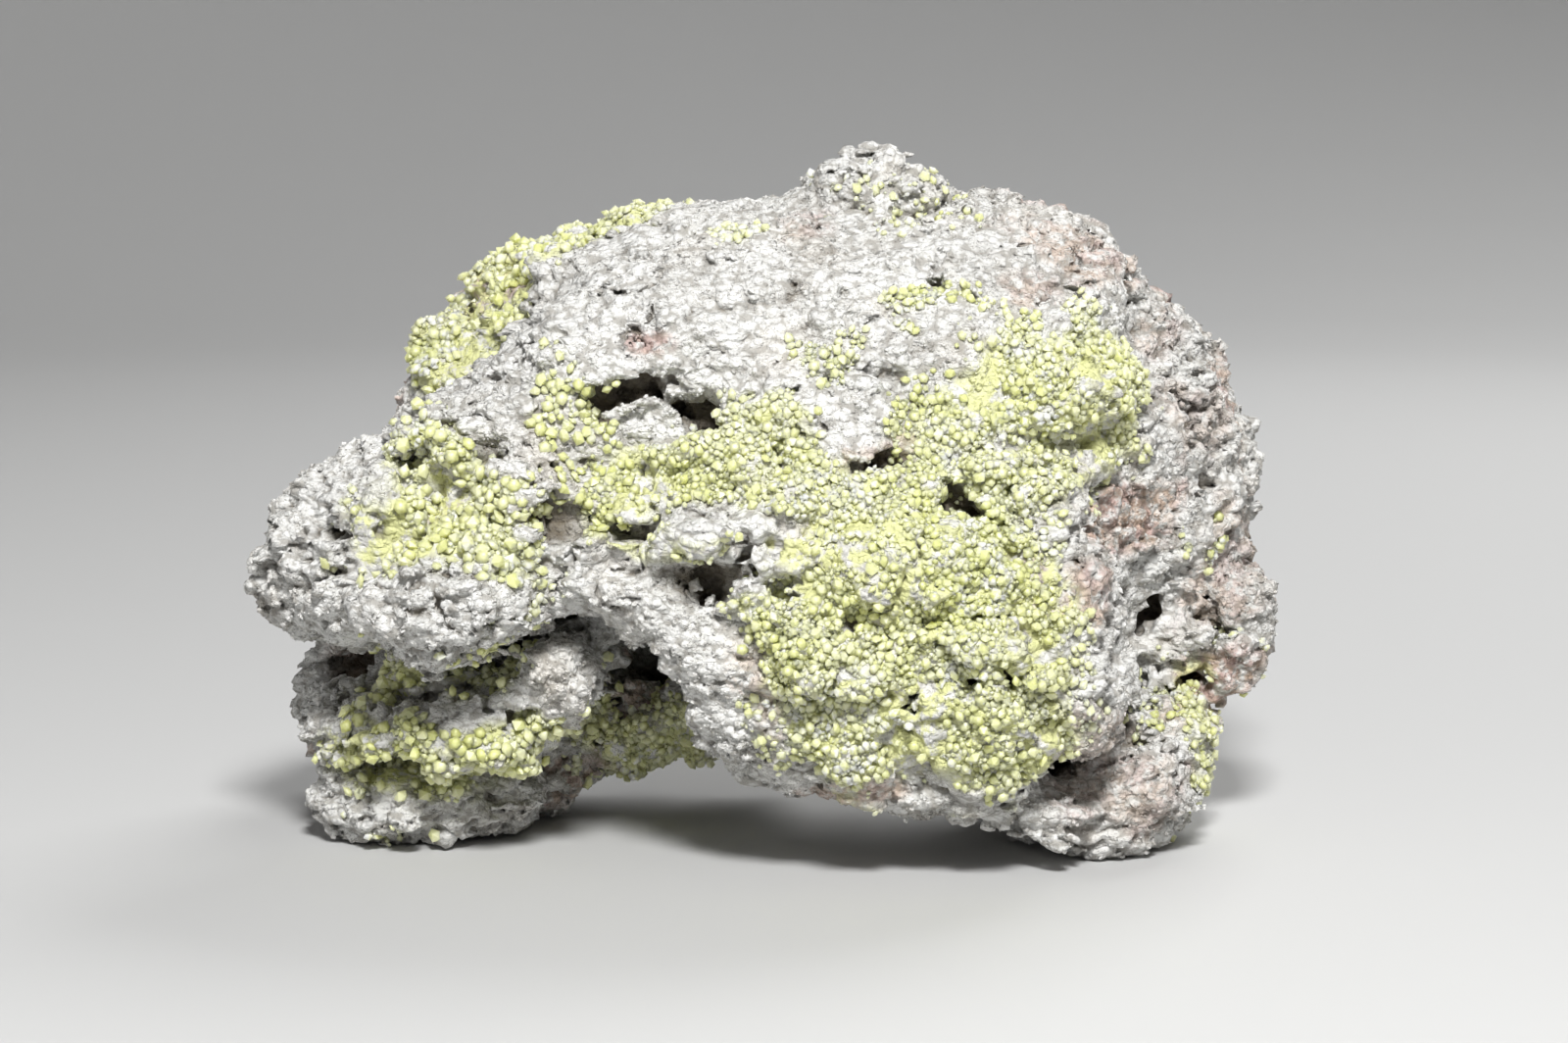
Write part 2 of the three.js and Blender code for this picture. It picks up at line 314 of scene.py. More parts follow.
# Places on the front: share across and up, then half width and half height in mm. Swells and hollows then
# have a half depth in mm, and the others a strength. The tilt in degrees comes last, and climbs to the right.
FRONT_SWELLS = (
    (0.19, 0.36, 10.0, 5.0, 7.0, 4),  # the boss at the wing's end
    (0.45, 0.455, 7.0, 2.3, 4.5, 3),  # the lip's nose
    (0.29, 0.25, 4.6, 5.0, 7.5, 0),  # the white knob on the ledge
    (0.20, 0.175, 12.0, 3.6, 5.0, 6),  # the ledge itself
    (0.59, 0.925, 7.5, 4.6, 4.0, 0),  # the knob on top
    (0.61, 0.42, 6.0, 3.5, 2.2, -25),  # lumps in the main crust
    (0.57, 0.29, 7.0, 3.0, 2.0, 10),
    (0.69, 0.31, 5.0, 3.5, 2.0, -20),
    (0.48, 0.585, 6.0, 2.2, 2.0, 5),
    (0.76, 0.64, 6.5, 4.0, 2.0, 15),
    (0.745, 0.07, 5.5, 3.0, 5.0, -8),  # the rubble between the main body and its right foot
)
FRONT_HOLLOWS = (
    (0.37, 0.645, 5.0, 2.2, 6.0, 20),  # the long slot over the main crust
    (0.41, 0.625, 4.5, 1.7, 6.0, -24),
    (0.45, 0.595, 3.2, 1.0, 5.0, -12),
    (0.49, 0.635, 3.6, 0.8, 4.5, 10),
    (0.29, 0.475, 6.0, 1.5, 7.0, 0),  # the crevice over the lip
    (0.34, 0.465, 4.0, 1.6, 6.5, -12),
    (0.455, 0.40, 5.4, 2.1, 8.0, 6),  # under the lip's nose
    (0.50, 0.375, 2.2, 1.6, 4.5, -20),
    (0.42, 0.385, 2.0, 1.4, 4.0, 30),
    (0.375, 0.26, 5.5, 5.0, 6.0, -20),  # the cave under the arch
    (0.255, 0.685, 1.2, 1.0, 4.0, 0),
    (0.15, 0.55, 2.6, 1.5, 4.5, 0),  # in the left pocket
    (0.175, 0.59, 3.0, 1.2, 4.5, 10),
    (0.22, 0.56, 2.0, 2.5, 4.5, 30),
    (0.07, 0.47, 2.6, 1.3, 4.0, -40),
    (0.09, 0.40, 2.2, 1.2, 4.0, 10),
    (0.06, 0.53, 1.8, 1.0, 3.5, 30),
    (0.685, 0.475, 4.8, 1.6, 6.5, -15),  # in the main crust
    (0.60, 0.545, 3.0, 0.7, 3.0, 10),
    (0.70, 0.39, 2.4, 0.7, 3.0, -30),
    (0.56, 0.34, 2.6, 0.8, 3.0, 15),
    (0.62, 0.22, 2.2, 0.8, 3.0, -10),
    (0.50, 0.31, 2.0, 0.8, 3.0, 40),
    (0.73, 0.55, 2.5, 0.8, 3.5, 35),
    (0.47, 0.55, 2.2, 0.6, 3.0, -5),
    (0.655, 0.495, 2.0, 1.4, 4.5, 40),
    (0.69, 0.26, 2.6, 1.0, 3.5, 5),
    (0.53, 0.265, 1.9, 0.8, 3.5, -10),
    (0.605, 0.67, 2.0, 1.1, 3.5, -25),
    (0.87, 0.48, 2.5, 1.0, 6.5, 8),  # the slots in the right end
    (0.895, 0.23, 3.6, 1.4, 6.0, 32),
    (0.86, 0.33, 1.3, 7.0, 4.0, -5),  # the groove beside the right edge
    (0.85, 0.20, 1.3, 4.0, 4.0, -25),
    (0.93, 0.33, 1.0, 2.5, 3.5, 20),
    (0.90, 0.60, 1.8, 0.9, 3.5, -30),
    (0.92, 0.52, 2.2, 0.8, 3.5, 20),
    (0.78, 0.125, 2.6, 1.0, 4.5, 14),
    (0.84, 0.16, 2.4, 0.8, 4.0, 30),
    (0.07, 0.265, 4.0, 1.8, 8.0, -5),  # the gap between the wing and the ledge
    (0.12, 0.24, 4.0, 1.6, 9.0, -10),
    (0.165, 0.225, 4.0, 1.5, 9.0, 5),
    (0.21, 0.245, 4.0, 1.6, 9.0, 30),
    (0.255, 0.295, 4.0, 1.8, 9.0, 35),
    (0.295, 0.34, 3.5, 1.6, 9.0, 25),
    (0.16, 0.135, 6.5, 1.3, 6.5, 0),  # the slot under the ledge
    (0.24, 0.13, 4.0, 1.2, 5.5, 10),
    (0.76, 0.77, 1.2, 0.8, 3.0, 20),
    (0.80, 0.76, 1.3, 0.9, 3.0, -20),
    (0.82, 0.715, 1.1, 0.7, 3.0, 0),
)
FRONT_STAINS = (
    (0.84, 0.475, 7.0, 4.0, 1.0, 15),
    (0.93, 0.25, 6.5, 4.0, 1.0, 30),
    (0.79, 0.84, 8.0, 3.5, 0.7, -20),
    (0.74, 0.79, 3.5, 2.0, 0.6, 0),
    (0.38, 0.71, 3.2, 1.5, 0.9, 0),
    (0.79, 0.38, 3.0, 4.5, 0.8, 0),
    (0.57, 0.10, 5.0, 1.6, 0.8, 10),
    (0.83, 0.09, 8.0, 4.5, 0.55, 0),
    (0.93, 0.36, 5.0, 5.0, 0.6, 0),
    (0.90, 0.62, 5.0, 5.0, 0.4, 0),
    (0.95, 0.42, 4.0, 6.0, 0.5, 0),
    (0.80, 0.17, 6.0, 3.5, 0.5, 0),
    (0.74, 0.36, 2.0, 5.0, 0.5, 10),
    (0.19, 0.48, 2.6, 2.0, 0.5, 0),
    (0.23, 0.81, 3.2, 2.2, 0.7, 0),
    (0.48, 0.25, 2.5, 5.5, 0.5, 30),
    (0.53, 0.88, 3.2, 2.0, 0.5, 0),
    (0.60, 0.56, 5.0, 2.0, 0.6, 10),
    (0.87, 0.73, 3.0, 4.5, 0.5, 0),
)
FRONT_CRYSTALS = (
    (0.64, 0.76, 4.5, 2.5, 0.7, 10),
    (0.55, 0.70, 3.2, 3.0, 0.8, 0),
    (0.30, 0.63, 3.5, 4.5, 0.4, 0),
    (0.46, 0.87, 3.2, 1.2, 0.6, 0),
    (0.61, 0.915, 9.0, 4.0, 0.07, 0),
    (0.50, 0.62, 4.0, 1.5, 0.8, 0),
    (0.92, 0.45, 2.5, 2.5, 0.3, 0),
)
FRONT_BARE = (
    (0.17, 0.215, 12.0, 2.6, 1.0, 4),  # the ledge's top
    (0.30, 0.27, 5.5, 5.0, 1.0, 0),
    (0.19, 0.35, 9.5, 5.0, 1.0, 4),  # the boss
    (0.45, 0.465, 8.0, 2.6, 1.0, 0),  # the lip
    (0.815, 0.34, 2.8, 9.0, 1.0, 0),  # the strip along the right edge
    (0.60, 0.56, 4.5, 1.6, 0.8, 10),
    (0.71, 0.57, 4.0, 1.5, 0.7, 20),
    (0.49, 0.53, 3.5, 1.5, 0.6, 0),
    (0.45, 0.405, 6.5, 3.0, 1.0, 0),  # under the lip
    (0.875, 0.17, 2.5, 6.0, 0.9, 0),
    (0.90, 0.07, 3.5, 2.5, 0.9, 0),
    (0.37, 0.27, 7.0, 6.0, 1.0, 0),  # the cave under the arch
    (0.13, 0.06, 12.0, 3.0, 1.0, 0),  # the toe
    (0.65, 0.09, 14.0, 3.2, 1.0, -4),  # the main body's lower rim
    (0.80, 0.16, 6.0, 4.0, 1.0, 10),
    (0.955, 0.245, 5.0, 5.0, 1.0, 30),
    (0.12, 0.52, 3.0, 3.5, 0.9, 30),
    (0.225, 0.60, 2.6, 3.0, 0.9, -20),
    (0.17, 0.50, 1.6, 2.2, 0.9, 0),
    (0.915, 0.15, 2.2, 4.0, 0.8, 10),
)


def shape_front(field):
    """Adds the front's swells, blended into the block, and carves its hollows."""
    blend = 5.0  # mm over which a swell flows into the block
    shapes = [(place, -1) for place in FRONT_SWELLS] + [(place, 1) for place in FRONT_HOLLOWS]
    for (across, up, wide, high, deep, tilt), side in shapes:
        centre = on_front(across, up)
        radii = np.array((wide, high, deep))
        reach = 1.5 * radii.max() + 2
        first = np.maximum(((centre - reach - field.low) / field.step).astype(int), 0)
        last = np.minimum(((centre + reach - field.low) / field.step).astype(int) + 1, field.shape)
        block = tuple(slice(a, b) for a, b in zip(first, last))
        index = np.stack(np.meshgrid(*(np.arange(a, b) for a, b in zip(first, last)), indexing="ij"), -1)
        points = field.points_at(index.reshape(-1, 3))
        ragged = 0.8 if side > 0 else 0.12
        scaled = on_oval(points, centre, radii, tilt) / (1 + ragged * rough(points, 4.0, 50, 4))[:, None]
        length = np.linalg.norm(scaled, axis=1)
        away = (length - 1) * length / np.maximum(np.linalg.norm(scaled / radii, axis=1), 1e-3)
        away = away.reshape(index.shape[:3])
        here = field.values[block]
        if side > 0:
            field.values[block] = np.maximum(here, -away)
        else:
            share = np.clip(0.5 + (away - here) / blend, 0, 1)
            field.values[block] = away + (here - away) * share - blend / 2 * share * (1 - share)


def in_places(points, places, wavelength=3.5, seed=62):
    """How much each point lies in any of some places on the front, from 0 to 1, with ragged edges."""
    reach = 16.0  # mm that a place goes in from the front
    ragged = 0.45 * rough(points, wavelength, seed, 3)
    total = np.zeros(len(points))
    for across, up, wide, high, strength, tilt in places:
        scaled = on_oval(points, on_front(across, up), (wide, high, reach), tilt)
        flat = np.hypot(scaled[:, 0], scaled[:, 1]) + ragged
        inside = strength * (1 - smooth_step(0.6, 1.3, flat)) * (np.abs(scaled[:, 2]) < 1)
        total = np.maximum(total, inside)
    return total


# ---------------- making meshes and materials


def add_object(name, data):
    thing = bpy.data.objects.new(name, data)
    bpy.context.scene.collection.objects.link(thing)
    return thing


def new_piece(name, points, faces, material, smooth=True):
    """A mesh piece that belongs to the object. Points are in mm."""
    mesh = bpy.data.meshes.new(name)
    mesh.vertices.add(len(points))
    mesh.vertices.foreach_set("co", (np.asarray(points, np.float64) * MM).astype(np.float32).ravel())
    sides = faces.shape[1]
    mesh.loops.add(faces.size)
    mesh.loops.foreach_set("vertex_index", faces.astype(np.int32).ravel())
    mesh.polygons.add(len(faces))
    mesh.polygons.foreach_set("loop_start", np.arange(0, faces.size, sides, dtype=np.int32))
    mesh.update(calc_edges=True)
    mesh.validate()
    mesh.polygons.foreach_set("use_smooth", np.full(len(faces), smooth))
    piece = add_object(name, mesh)
    if material:
        mesh.materials.append(material)
    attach(piece, "root")
    return piece


def set_attribute(mesh, name, values):
    attribute = mesh.attributes.new(name, "FLOAT", "POINT")
    attribute.data.foreach_set("value", np.asarray(values, np.float32))


def lifted_to_floor(points):
    """Points with those under the floor moved up onto it."""
    points[:, 2] = np.maximum(points[:, 2], 0)
    return points


def largest_part(points, faces):
    """Drops every loose bit but the largest connected one."""
    label = np.arange(len(points))
    while True:
        least = label[faces].min(1)
        new = label.copy()
        for n in range(faces.shape[1]):
            np.minimum.at(new, faces[:, n], least)
        new = new[new]
        if (new == label).all():
            break
        label = new
    kept_label = np.bincount(label).argmax()
    keep = label[faces[:, 0]] == kept_label
    used = np.unique(faces[keep])
    renumber = np.zeros(len(points), np.int64)
    renumber[used] = np.arange(len(used))
    return points[used], renumber[faces[keep]]


class Nodes:
    """A short way to build a node tree. Sizes and distances are in millimetres."""

    def __init__(self, name):
        self.material = bpy.data.materials.new(name)
        self.material.use_nodes = True
        self.tree = self.material.node_tree
        self.shader = self.tree.nodes["Principled BSDF"]
        self.coordinates = self.add("ShaderNodeTexCoord").outputs["Object"]

    def add(self, kind, **settings):
        node = self.tree.nodes.new(kind)
        for name, value in settings.items():
            setattr(node, name, value)
        return node

    def put(self, value, socket):
        if isinstance(value, bpy.types.NodeSocket):
            self.tree.links.new(value, socket)
        elif isinstance(value, (int, float)) or len(value) == len(socket.default_value):
            socket.default_value = value
        else:
            socket.default_value = (*value, 1.0)

    def attribute(self, name):
        return self.add("ShaderNodeAttribute", attribute_name=name).outputs["Fac"]

    def noise(self, size_mm, detail, roughness, stretch=(1, 1, 1)):
        mapping = self.add("ShaderNodeMapping")
        self.put(self.coordinates, mapping.inputs["Vector"])
        self.put(stretch, mapping.inputs["Scale"])
        node = self.add("ShaderNodeTexNoise")
        self.put(mapping.outputs[0], node.inputs["Vector"])
        self.put(1 / (size_mm * MM), node.inputs["Scale"])
        self.put(detail, node.inputs["Detail"])
        self.put(roughness, node.inputs["Roughness"])
        return node.outputs["Fac"]

    def crumbs(self, size_mm, warp_mm):
        """Distance to the middles of flat-lying crumbs with bent edges, in crumb sizes."""
        noise = self.add("ShaderNodeTexNoise")
        self.put(self.coordinates, noise.inputs["Vector"])
        self.put(1 / (size_mm * MM), noise.inputs["Scale"])
        self.put(3.0, noise.inputs["Detail"])
        bend = self.add("ShaderNodeVectorMath", operation="MULTIPLY_ADD")
        self.put(noise.outputs["Color"], bend.inputs[0])
        self.put((warp_mm * MM,) * 3, bend.inputs[1])
        self.put(self.coordinates, bend.inputs[2])
        mapping = self.add("ShaderNodeMapping")
        self.put(bend.outputs[0], mapping.inputs["Vector"])
        self.put((1, 1, 1.5), mapping.inputs["Scale"])
        node = self.add("ShaderNodeTexVoronoi", feature="F1")
        self.put(mapping.outputs[0], node.inputs["Vector"])
        self.put(1 / (size_mm * MM), node.inputs["Scale"])
        return node.outputs["Distance"]

    def threads(self, size_mm, width, stretch):
        """Thin wandering lines, 1 on the line and 0 off it."""
        middle = 0.5  # of the noise's values
        away = self.math("SUBTRACT", self.noise(size_mm, 5, 0.65, stretch), middle)
        return self.between(self.math("ABSOLUTE", away, 0.0), 0.0, width, 1.0, 0.0)

    def between(self, value, low, high, low_out=0.0, high_out=1.0):
        """Maps low..high to low_out..high_out, smoothly and clamped."""
        node = self.add("ShaderNodeMapRange", interpolation_type="SMOOTHSTEP")
        self.put(value, node.inputs["Value"])
        ends = {"From Min": low, "From Max": high, "To Min": low_out, "To Max": high_out}
        for socket, number in ends.items():
            self.put(number, node.inputs[socket])
        return node.outputs[0]

    def math(self, operation, a, b):
        node = self.add("ShaderNodeMath", operation=operation)
        self.put(a, node.inputs[0])
        self.put(b, node.inputs[1])
        return node.outputs[0]

    def times(self, a, b):
        return self.math("MULTIPLY", a, b)

    def blotches(self, size_mm, detail, roughness, low, high):
        """Soft-edged random patches, 0 outside them and 1 inside."""
        return self.between(self.noise(size_mm, detail, roughness), low, high)

    def mix(self, share, a, b):
        node = self.add("ShaderNodeMix", data_type="RGBA")
        self.put(share, node.inputs["Factor"])
        self.put(a, node.inputs["A"])
        self.put(b, node.inputs["B"])
        return node.outputs["Result"]

    def bump(self, height, distance_mm, strength, normal=None):
        node = self.add("ShaderNodeBump")
        self.put(height, node.inputs["Height"])
        self.put(distance_mm * MM, node.inputs["Distance"])
        self.put(strength, node.inputs["Strength"])
        if normal:
            self.put(normal, node.inputs["Normal"])
        return node.outputs["Normal"]

    def shade(self, **sockets):
        for name, value in sockets.items():
            self.put(value, self.shader.inputs[name.replace("_", " ")])


CREAM = (0.72, 0.67, 0.60)
RUST = (0.50, 0.30, 0.18)
FROST = (0.85, 0.85, 0.75)


def rock_material(rock):
    """Bleached rock: dark brown in its cracks, pores, creases and hollows, as dirt and painted shade, stained
    in places and yellow beside the crusts.
    """
    nodes = Nodes("bleached_rock")
    weathered = nodes.blotches(9, 5, 0.6, 0.42, 0.66)
    specks = nodes.blotches(0.9, 3, 0.7, 0.55, 0.72)
    warm = nodes.blotches(14, 4, 0.6, 0.5, 0.7)
    colour = nodes.mix(nodes.times(warm, 0.5), rock.white, CREAM)
    colour = nodes.mix(nodes.times(weathered, 0.25), colour, rock.grey)
    colour = nodes.mix(nodes.times(specks, 0.25), colour, rock.grey)
    stain = nodes.times(nodes.attribute("stain"), nodes.blotches(1.6, 4, 0.65, 0.36, 0.56))
    stain_colour = nodes.mix(nodes.blotches(5, 2, 0.5, 0.4, 0.6), rock.pink, RUST)
    colour = nodes.mix(nodes.times(stain, 0.7), colour, stain_colour)
    wide_threads = nodes.threads(3.0, 0.014, (1, 1, 2.2))
    fine_threads = nodes.threads(1.1, 0.022, (1, 1, 1.8))
    threads = nodes.math("MAXIMUM", wide_threads, nodes.times(fine_threads, 0.6))
    cracks = nodes.times(threads, nodes.blotches(3.5, 4, 0.65, 0.46, 0.56))
    pores = nodes.between(nodes.noise(0.9, 5, 0.75, (1, 1, 1.9)), 0.34, 0.41, 1.0, 0.0)
    crumbs = nodes.crumbs(1.3, 0.9)
    creases = nodes.between(crumbs, 0.50, 0.80)
    # cracks, pores and crumb creases turn dark brown: dirt, and painted shade of the tiny pits and cracks
    dirt_and_painted_shade = nodes.math("MAXIMUM", nodes.times(cracks, 0.8), nodes.times(pores, 0.6))
    dirt_and_painted_shade = nodes.math("MAXIMUM", dirt_and_painted_shade, nodes.times(creases, 0.5))
    dust = nodes.attribute("sulfur")
    dirt_and_painted_shade = nodes.times(dirt_and_painted_shade, nodes.between(dust, 0.2, 0.8, 1.0, 0.4))
    colour = nodes.mix(dirt_and_painted_shade, colour, rock.dirt_and_shade_brown)
    dusty = nodes.times(dust, nodes.blotches(2.4, 4, 0.65, 0.41, 0.53))
    colour = nodes.mix(nodes.times(dusty, 0.92), colour, rock.sulfur_dust)
    # dark brown in the carved hollows and creases: dirt and painted shade
    hollow_dirt_and_shade = nodes.times(nodes.attribute("hollow_dirt_and_shade"), nodes.between(dust, 0.0, 1.0, 0.85, 0.55))
    colour = nodes.mix(hollow_dirt_and_shade, colour, rock.dirt_and_shade_brown)
    normal = nodes.bump(nodes.noise(0.35, 3, 0.7), 0.24, 1.0)
    normal = nodes.bump(nodes.noise(0.9, 4, 0.7), 0.42, 1.0, normal)
    normal = nodes.bump(nodes.between(crumbs, 0.15, 0.85, 1.0, 0.0), 0.32, 1.0, normal)
    nodes.shade(Base_Color=colour, Roughness=nodes.between(dusty, 0.0, 1.0, 0.92, 0.5), Normal=normal,
                Specular_IOR_Level=0.2)
    return nodes.material


def sulfur_material(crystals):
    """Lemon crystals that let light in a little way, some of them frosted with powder, all flecked with fine
    white specks that are powder and painted glints.
    """
    nodes = Nodes("sulfur_crystal")
    colour = nodes.mix(nodes.attribute("depth"), crystals.pale, crystals.deep)
    powder = nodes.times(nodes.attribute("frost"), nodes.blotches(1.8, 4, 0.65, 0.50, 0.60))
    # the fine white specks are powder and painted glints of the crystal facets
    frost = nodes.math("MAXIMUM", powder, nodes.blotches(0.45, 3, 0.6, 0.66, 0.72))
    colour = nodes.mix(nodes.times(frost, 0.9), colour, FROST)
    normal = nodes.bump(nodes.noise(0.28, 3, 0.65), 0.09, 0.8)
    nodes.shade(Base_Color=colour, Roughness=nodes.between(frost, 0.0, 1.0, 0.42, 0.85), Normal=normal,
                IOR=1.9, Transmission_Weight=0.12, Subsurface_Weight=0.85,
                Subsurface_Radius=(1.0, 0.97, 0.75), Subsurface_Scale=1.8 * MM)
    return nodes.material


# ---------------- the rock


def crust_distances():
    """A coarse field of distances to the nearest CAD crust."""
    margin, step = 6, 1.0
    parts = [node_mesh(name) for name in CRUST_NODES]
    starts = np.cumsum([0] + [len(points) for points, _ in parts])
    points = np.concatenate([points for points, _ in parts])
    faces = np.concatenate([faces + start for (_, faces), start in zip(parts, starts)])
    field = Field(block_low - margin, block_high + margin, step)
    field.fill_from(points, faces, reach=8.0)
    return field


crust_field = crust_distances()


def rock_relief(points, rock, crusted):
    """How far the rock stands out from its smooth shape at each point, in mm."""
    bare = 1 - 0.15 * crusted
    layered = points * (1, 1, 1.8)
    calm = 0.6 + 0.5 * smooth_step(-0.3, 0.4, rough(points, 18, 30, 2))
    lump, _, _ = cells(points + 2.0 * ripple(points, 9, 11)[:, None], 8.5, 21)
    clod, clod_next, clod_label = cells(layered + 0.9 * ripple(points, 3, 12)[:, None], 3.7, 22)
    grain, _, grain_label = cells(layered + 0.4 * ripple(points, 1.5, 13)[:, None], 1.6, 23)
    height = rock.lump_height / MM * (0.55 - lump) * 1.4
    height += rock.clod_height / MM * (0.5 - clod + 0.75 * (clod_label - 0.5)) * calm * bare
    height += rock.grain_height / MM * (0.5 - grain + 0.8 * (grain_label - 0.5)) * calm * bare
    seams = 0.8 * (1 - smooth_step(0.0, 0.16, clod_next - clod))
    height -= seams * smooth_step(0.3, 0.7, clod_label) * bare
    height += 0.7 * rough(points, 13, 31, 3)
    cracks = 2.2 * (1 - smooth_step(0.0, 0.10, np.abs(rough(points * (1, 1, 1.6), 11, 41, 4))))
    height -= cracks * smooth_step(-0.2, 0.2, rough(points, 22, 43, 2)) * bare
    bud, _, bud_label = cells(points, 3.0, 24)
    clump, _, clump_label = cells(points * (1, 1, 1.4), 6.5, 26)
    buds = 1.3 * (0.5 - bud) + 0.6 * bud_label
    return height + crusted * (buds + 2.3 * (0.5 - clump) + 2.0 * (clump_label - 0.5))


def rock_pits(points, crusted):
    """Distances to small holes in the rock in mm, negative inside."""
    spacing = 4.2
    away, _, label = cells(points + 0.8 * ripple(points, 1.8, 14)[:, None], spacing, 25)
    share = 0.13 + 0.20 * smooth_step(0.0, 0.5, rough(points, 15, 44, 2)) + 0.10 * crusted
    radius = np.where(label < share, 0.55 + 4.0 * label, -2.0)
    return spacing * away - radius


carved = {}  # fields of the rock that show its hollows: smooth before its relief, and softened after it


def dress_rock(mesh):
    """Where a mesh of rock is darkened in its hollows and creases, by dirt and painted shade, where it is
    yellow and where stained, for the rock's material.
    """
    points = mesh_points(mesh)
    # darker in the carved hollows and along creases: dirt and painted shade
    deep = smooth_step(1.2, 4.5, -carved["smooth"].sample(points))
    creased = smooth_step(0.20, 0.75, -carved["softened"].sample(points))
    set_attribute(mesh, "hollow_dirt_and_shade", np.maximum(deep, 0.75 * creased))
    dusty = 1 - smooth_step(1.0, 3.6, crust_field.sample(points) + 1.2 * rough(points, 5, 61))
    set_attribute(mesh, "sulfur", dusty * (1 - in_places(points, FRONT_BARE)))
    at_back = 0.8 * smooth_step(0.30, 0.7, rough(points, 16, 71)) * (points[:, 1] > 5)
    set_attribute(mesh, "stain", np.maximum(at_back, in_places(points, FRONT_STAINS)))


class SPECIMEN_OT_rock(Operator):
    """Carve the block of rock"""

    bl_idname = "specimen.rock"
    bl_label = "Rock"

    def execute(self, context):
        margin, reach, relief_reach = 3.2, 5.0, 2.6
        edge_rounds, crease_rounds = 5, 7
        rock = context.scene.specimen_rock
        step = rock.voxel / MM
        field = Field(block_low - margin, block_high + margin, step)
        field.fill_from(*node_mesh(ROCK_NODE), reach)
        field.soften(edge_rounds)
        carved["smooth"] = field.copy()
        shape_front(field)
        index = field.near_surface(relief_reach)
        relief = in_strips(lambda points: self.relief(points, rock), field.points_at(index))
        i, j, k = index.T
        field.values[i, j, k] = np.maximum(field.values[i, j, k] - relief[:, 0], -relief[:, 1])
        under = int(-field.low[2] / step) + 1
        field.values[:, :, :under] = np.maximum(field.values[:, :, :under], 0.3)  # nothing under the floor
        points, quads = largest_part(*field.surface())
        field.soften(crease_rounds)
        carved["softened"] = field
        piece = new_piece("rock", lifted_to_floor(points), quads, None)
        self.trim(context, piece, rock, points)
        dress_rock(piece.data)
        piece.data.materials.append(rock_material(rock))
        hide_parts(ROCK_NODE)
        return {"FINISHED"}

    def relief(self, points, rock):
        crusted = 1 - smooth_step(1.5, 3.2, crust_field.sample(points))
        return np.stack((rock_relief(points, rock, crusted), rock_pits(points, crusted)), 1)

    def trim(self, context, piece, rock, points):
        """Cuts the mesh down to its triangles, and keeps more of them on the front."""
        levels = 4
        hidden = 0.5 + 0.5 * smooth_step(-12, 14, seen(points)[:, 2])
        group = piece.vertex_groups.new(name="hidden")
        for level in range(1, levels + 1):
            chosen = np.nonzero(np.round(levels * hidden) == level)[0]
            group.add(chosen.tolist(), level / levels, "REPLACE")
        trim = piece.modifiers.new("trim", "DECIMATE")
        trim.ratio = min(1.0, rock.triangles / (2 * len(piece.data.polygons)))
        trim.vertex_group = group.name
        trim.vertex_group_factor = 1.5e-3
        trimmed = bpy.data.meshes.new_from_object(piece.evaluated_get(context.evaluated_depsgraph_get()))
        piece.modifiers.clear()
        piece.vertex_groups.clear()
        trimmed.vertices.foreach_set("co", (lifted_to_floor(mesh_points(trimmed)) * MM).ravel())
        piece.data = trimmed
        trimmed.polygons.foreach_set("use_smooth", np.full(len(trimmed.polygons), True))


# ---------------- many small things on the rock


class Surface:
    """The finished rock's triangles, to scatter things on."""

    def __init__(self, mesh):
        triangles = mesh_triangles(mesh)
        self.corners = mesh_points(mesh)[triangles]
        normals = np.zeros(len(mesh.vertices) * 3, np.float32)
        mesh.vertices.foreach_get("normal", normals)
        self.normals = normals.reshape(-1, 3)[triangles]
        cross = np.cross(self.corners[:, 1] - self.corners[:, 0], self.corners[:, 2] - self.corners[:, 0])
        self.areas = np.linalg.norm(cross, axis=1) / 2

    def scatter(self, rng, per_square_mm, weight):
        """Random points and normals, as dense as the weight of each triangle's middle allows."""
        wanted = self.areas * weight * per_square_mm
        count = rng.poisson(wanted)
        chosen = np.repeat(np.arange(len(count)), count)
        u, v = rng.random((2, len(chosen)))
        flip = u + v > 1
        u, v = np.where(flip, 1 - u, u), np.where(flip, 1 - v, v)
        share = np.stack((1 - u - v, u, v), 1)[:, :, None]
        normals = (self.normals[chosen] * share).sum(1)
        normals /= np.maximum(np.linalg.norm(normals, axis=1), 1e-6)[:, None]
        return (self.corners[chosen] * share).sum(1), normals, chosen


def thin_out(points, distances):
    """Which points to keep so that no two are closer than their distances, taken in the given order."""
    step = distances.max()
    cubes = [tuple(c) for c in np.floor(points / step).astype(int).tolist()]
    steps = list(itertools.product((-1, 0, 1), repeat=3))
    kept = {}
    keep = np.zeros(len(points), bool)
    places = points.tolist()
    for n, (x, y, z) in enumerate(places):
        i, j, k = cubes[n]
        limit = distances[n] ** 2
        crowded = False
        for a, b, c in steps:
            for px, py, pz in kept.get((i + a, j + b, k + c), ()):
                if (px - x) ** 2 + (py - y) ** 2 + (pz - z) ** 2 < limit:
                    crowded = True
                    break
            if crowded:
                break
        if not crowded:
            kept.setdefault((i, j, k), []).append((x, y, z))
            keep[n] = True
    return keep


def turned_to(normals, tilt, rng):
    """A rotation for each normal: its third column near the normal, turned by a random spin and tilt."""
    spin = rng.random(len(normals)) * 2 * math.pi
    leaning = normals + tilt * rng.standard_normal(normals.shape)
    up = leaning / np.linalg.norm(leaning, axis=1)[:, None]
    side = np.cross(up, np.where(np.abs(up[:, 2:]) < 0.9, (0.0, 0.0, 1.0), (1.0, 0.0, 0.0)))
    side /= np.linalg.norm(side, axis=1)[:, None]
    other = np.cross(up, side)
    c, s = np.cos(spin)[:, None], np.sin(spin)[:, None]
    return np.stack((c * side + s * other, c * other - s * side, up), 2)


